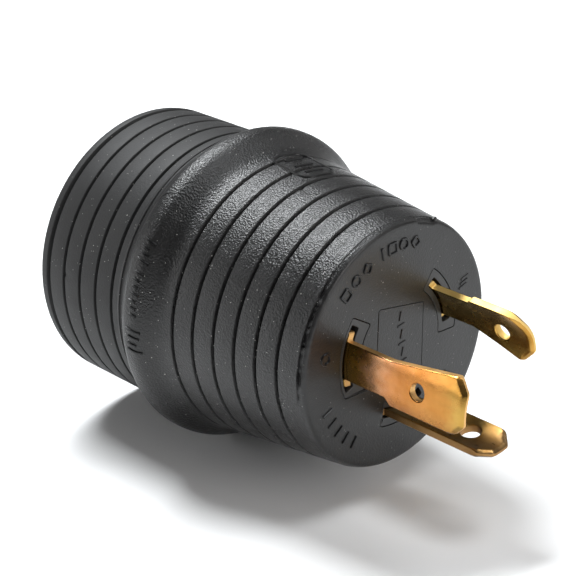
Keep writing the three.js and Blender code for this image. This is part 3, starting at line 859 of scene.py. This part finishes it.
# ------------------------------------------------------------------ blade core with islands
def make_carrier():
    """Core plate behind the plug face, and its three raised islands with a slot in each."""
    shell = Shell()
    islands = [sector_outline(*b["island"]) for b in BLADES.values()]
    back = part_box("blade_carrier")[0].x / MM
    holes = [Outline(i.at(-0.02)) for i in islands]
    plate(shell, circle_outline(CORE_RADIUS, 180), holes, back, -FACE_WALL - CLEAR, 0.05, 0.4)
    for blade, island in zip(BLADES.values(), islands):
        slot = strip_slot(blade, *blade["slot"], 0.22)
        plate(shell, Outline(island.at(-0.04)), [slot], back, FACE_X - 0.03, 0.10, 0.07)
    shell.build("blade_core", (CORE,), ("blade_carrier",))


make_carrier()


# ------------------------------------------------------------------ blades
def blade_outline(blade):
    """Flat outline of a blade (along, across): tail, wide shoulders, neck, notch, head and tip."""
    neck_low, neck_high = blade["neck"]
    head_low, head_high = blade["head"]
    low, high = blade["shoulder"]
    tip, top, notch = blade["length"], blade["top"], blade["notch"]
    cut, ease = blade["tip"]
    tail, wing, chamfer = 2.3, 0.9, 2.2
    step, deep, back = -3.6, -8.4, -16.4
    points = [(back, -tail, 0.3), (deep, -tail, 0.4), (deep, low - wing, 0.5), (step, low - wing, 0.4),
              (step, low, 0.3), (top, low, 0.5), (top, neck_low, 0.3), (blade["flare"], neck_low, 2.5),
              (tip - chamfer, head_low, 1.2), (tip, head_low + chamfer, 1.2),
              (tip, head_high - cut, ease), (tip - cut, head_high, ease),
              (notch, head_high, 0.3), (notch - 0.9, neck_high, 0.35), (top, neck_high, 0.3),
              (top, high, 0.5), (step, high, 0.3), (step, high + wing, 0.4), (deep, high + wing, 0.5),
              (deep, tail, 0.4), (back, tail, 0.3)]
    coarse = [Vector(p) for p in rounded_path(points, closed=True, steps=4)]
    fine = []
    for here, there in zip(coarse, coarse[1:] + coarse[:1]):
        n = max(1, int((there - here).length / 0.7))
        fine += [here.lerp(there, i / n) for i in range(n)]
    return Outline(fine)


def make_blade(name):
    """A blade stamped flat and bent round the axis, with a crimp tube on its tail."""
    blade = BLADES[name]
    shell = Shell()
    outline = blade_outline(blade)
    hole_x, hole_v, hole_radius = blade["hole"]
    hole = circle_outline(hole_radius, 40, hole_x, hole_v)
    middle, half = math.radians(blade["angle"]), BLADE_THICK / 2
    flats = {}

    def bend(x, v, h):
        r = BLADE_MID + h
        t = middle + math.asin(max(-0.95, min(0.95, v / r)))
        return (x, r * math.cos(t), r * math.sin(t))

    def coined(p):
        """Bevel that grows towards the tip, as on a coined blade end."""
        return 0.16 + 0.50 * max(0.0, min(1.0, (p.x - blade["length"] + 3.0) / 1.2))

    def wall(shape, sign, size):
        """Edge of an outline from face to face, bevelled; gives the first and the last ring."""
        steps = [(1.9, 0.0), (1.06, 0.0), (0.92, 0.05), (0.10, 0.86), (0.0, 1.0)]
        rings = []
        for inset, depth, side in [(*s, 1) for s in steps] + [(*s, -1) for s in reversed(steps)]:
            flat = shape.at(lambda p, inset=inset: -sign * inset * size(p))
            heights = [side * (half - depth * min(size(p), half * 0.7)) for p in flat]
            ring = shell.ring([bend(p.x, p.y, h) for p, h in zip(flat, heights)])
            flats.update((v, (p.x, p.y)) for v, p in zip(ring, flat))
            rings.append(ring)
        for i, pair in enumerate(zip(rings, rings[1:])):
            shell.tone = 1 if i == len(steps) - 1 else 0
            shell.loft(*pair)
        shell.tone = 0
        return rings[0], rings[-1]

    edge = wall(outline, 1, coined)
    rim = wall(hole, -1, lambda p: 0.16)
    margin = outline.at(lambda p: -0.45 - 1.9 * coined(p))
    grid = []
    pitch, pitch_across, reach = 0.9, 0.75, 7.0
    x = -16.0
    while x < blade["length"]:
        v = -reach
        while v < reach:
            clear_of_hole = math.hypot(x - hole_x, v - hole_v) > hole_radius + 0.6
            if crossings((x, v), margin) % 2 and clear_of_hole:
                grid.append((x + 0.013, v + 0.007))  # shifted off the lines of the outline
            v += pitch_across
        x += pitch
    for side, rings in zip((1, -1), zip(edge, rim)):
        inner_points = [((x, v), bend(x, v, side * half)) for x, v in grid]
        shell.cap(rings, lambda v: flats[v], inner_points)
    tube(shell, -21.6, -15.4, 2.7, 1.9, polar(BLADE_MID, blade["angle"]))
    metals = (BRASS[name], SHEARED[name])
    shell.build(f"{name}_blade_stamped", metals, (f"{name}_blade",), sharp=24)


for blade_name in BLADES:
    make_blade(blade_name)


# ------------------------------------------------------------------ socket end
def socket_point(across, along):
    """(y, z) on the socket face, in directions turned with its slots."""
    a = math.radians(SOCKET_TURN + 180)
    return along * math.cos(a) - across * math.sin(a), along * math.sin(a) + across * math.cos(a)


def make_socket():
    """Socket face with two slots and a round hole, pockets behind it, and plain marks on it."""
    shell = Shell()
    face_depth, pocket_end = 2.2, -47.4
    openings, pockets = [], []
    for side in (1, -1):
        y, z = socket_point(side * 8.2, 4.6)
        turn = SOCKET_TURN + 180 - side * 45
        openings.append(Outline(box_path(y, z, 8.2, 2.3, 0.35, turn, steps=4)))
        pockets.append(Outline(box_path(y, z, 10.4, 5.5, 0.5, turn, steps=4)))
    y, z = socket_point(0, -9.5)
    openings.append(circle_outline(3.0, 48, y, z))
    pockets.append(circle_outline(5.1, 48, y, z))
    rim = circle_outline(CORE_RADIUS, 180)
    plate(shell, rim, openings, SOCKET_FACE, SOCKET_FACE + face_depth, 0.35, 0.3)
    inner_rim = circle_outline(CORE_RADIUS - 0.02, 180)
    plate(shell, inner_rim, pockets, SOCKET_FACE + face_depth - 0.05, pocket_end, 0.1, 0.2)

    def on_socket(u, v, h):
        return (SOCKET_FACE - h, u, v)

    sweep_relief(shell, on_socket, ring_path(0, 0, 18.2, 120), 0.5, 0.14, closed=True)
    for side, bars in ((1, (-0.7, 0.7)), (-1, (0.0,))):
        y, z = socket_point(side * 13.6, 8.2)
        for d in bars:
            sweep_relief(shell, on_socket, bar_path(y + d, z, 1.9, SOCKET_TURN), 0.42, 0.15)
    y, z = socket_point(0, -14.6)
    sweep_relief(shell, on_socket, ring_path(y, z, 0.95), 0.36, 0.14, closed=True)
    shell.build("socket_core", (CORE,), ("contact_carrier",))


make_socket()


# ------------------------------------------------------------------ pieces kept from the frame
def dress(node, material, bevel=0.12):
    """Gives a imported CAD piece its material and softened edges."""
    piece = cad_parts[node]
    piece.data.materials.clear()
    piece.data.materials.append(material)
    soft = piece.modifiers.new("edges", "BEVEL")
    soft.width = bevel * MM
    soft.segments = 2
    soft.limit_method = "ANGLE"
    soft.angle_limit = math.radians(32)
    piece.data.shade_smooth()
    piece.data.set_sharp_from_angle(angle=math.radians(32))


for kept in ("blade_retainer", "contact_retainer"):
    dress(kept, CORE)
dress("inner_fill", FILL)
for circuit in BLADES:
    dress(f"{circuit}_contact", CONTACT, 0.08)
    dress(f"{circuit}_contact_spring", STEEL, 0.06)
    dress(f"{circuit}_conductor", COPPER, 0.05)
    dress(f"{circuit}_insulation", JACKETS[circuit], 0.05)


# ------------------------------------------------------------------ floor, light
def make_floor():
    """Pale paper that just touches the lowest point of the hump."""
    reach, z = 3.0, CAD_BOX[0].z
    mesh = bpy.data.meshes.new("floor")
    corners = [(-reach, -reach, z), (reach, -reach, z), (reach, reach, z), (-reach, reach, z)]
    mesh.from_pydata(corners, [], [(0, 1, 2, 3)])
    n = Nodes("floor_paper")
    color = n.ramp(n.noise(9, 3), [(0.3, (0.90, 0.90, 0.90)), (0.7, (0.93, 0.93, 0.93))])
    mesh.materials.append(n.finish(color, 0.85, n.bump(n.noise(500, 3), 0.05, 0.0003), specular=0.1))
    floor = bpy.data.objects.new("floor", mesh)
    bpy.context.scene.collection.objects.link(floor)


def area_light(name, place, target, size, power, color=(1, 1, 1)):
    data = bpy.data.lights.new(name, "AREA")
    data.shape = "RECTANGLE"
    data.size, data.size_y = size
    data.energy = power
    data.color = color
    lamp = bpy.data.objects.new(name, data)
    bpy.context.scene.collection.objects.link(lamp)
    lamp.location = place
    aim = Vector(target) - Vector(place)
    lamp.rotation_mode = "QUATERNION"
    lamp.rotation_quaternion = aim.to_track_quat("-Z", "Y")


def make_world():
    """Pale room: brighter at the horizon, darker overhead."""
    world = bpy.data.worlds.new("studio")
    world.use_nodes = True
    nodes, links = world.node_tree.nodes, world.node_tree.links
    direction = nodes.new("ShaderNodeSeparateXYZ")
    links.new(nodes.new("ShaderNodeTexCoord").outputs["Generated"], direction.inputs[0])
    shade = nodes.new("ShaderNodeMapRange")
    for key, value in (("From Min", 0.0), ("From Max", 0.24), ("To Min", 0.60), ("To Max", 0.12)):
        shade.inputs[key].default_value = value
    links.new(direction.outputs["Z"], shade.inputs["Value"])
    links.new(shade.outputs["Result"], nodes["Background"].inputs["Strength"])
    nodes["Background"].inputs["Color"].default_value = (1, 1, 1, 1)
    bpy.context.scene.world = world


COOL, WARM = (0.95, 0.98, 1.0), (1.0, 0.97, 0.96)
make_floor()
make_world()
bpy.context.scene.view_settings.view_transform = "Standard"
area_light("key", (-0.43, 0.055, 0.70), (-0.02, 0, 0), (0.40, 0.14), 9.4, COOL)
area_light("top", (0.20, 0.10, 0.66), (-0.02, 0, 0), (0.26, 0.30), 2.0, COOL)
area_light("front_left", (-0.60, -0.70, 0.24), (-0.03, 0, 0), (0.5, 0.4), 1.7)
area_light("right", (0.80, 0.25, 0.55), (0, 0, 0), (0.5, 0.5), 1.1, WARM)
area_light("back", (0.1, 0.85, 0.55), (0, 0, 0), (0.7, 0.5), 1.0)
area_light("front", (1.00, 0.12, 0.38), (0.06, -0.05, 0), (0.5, 0.4), 2.8, WARM)
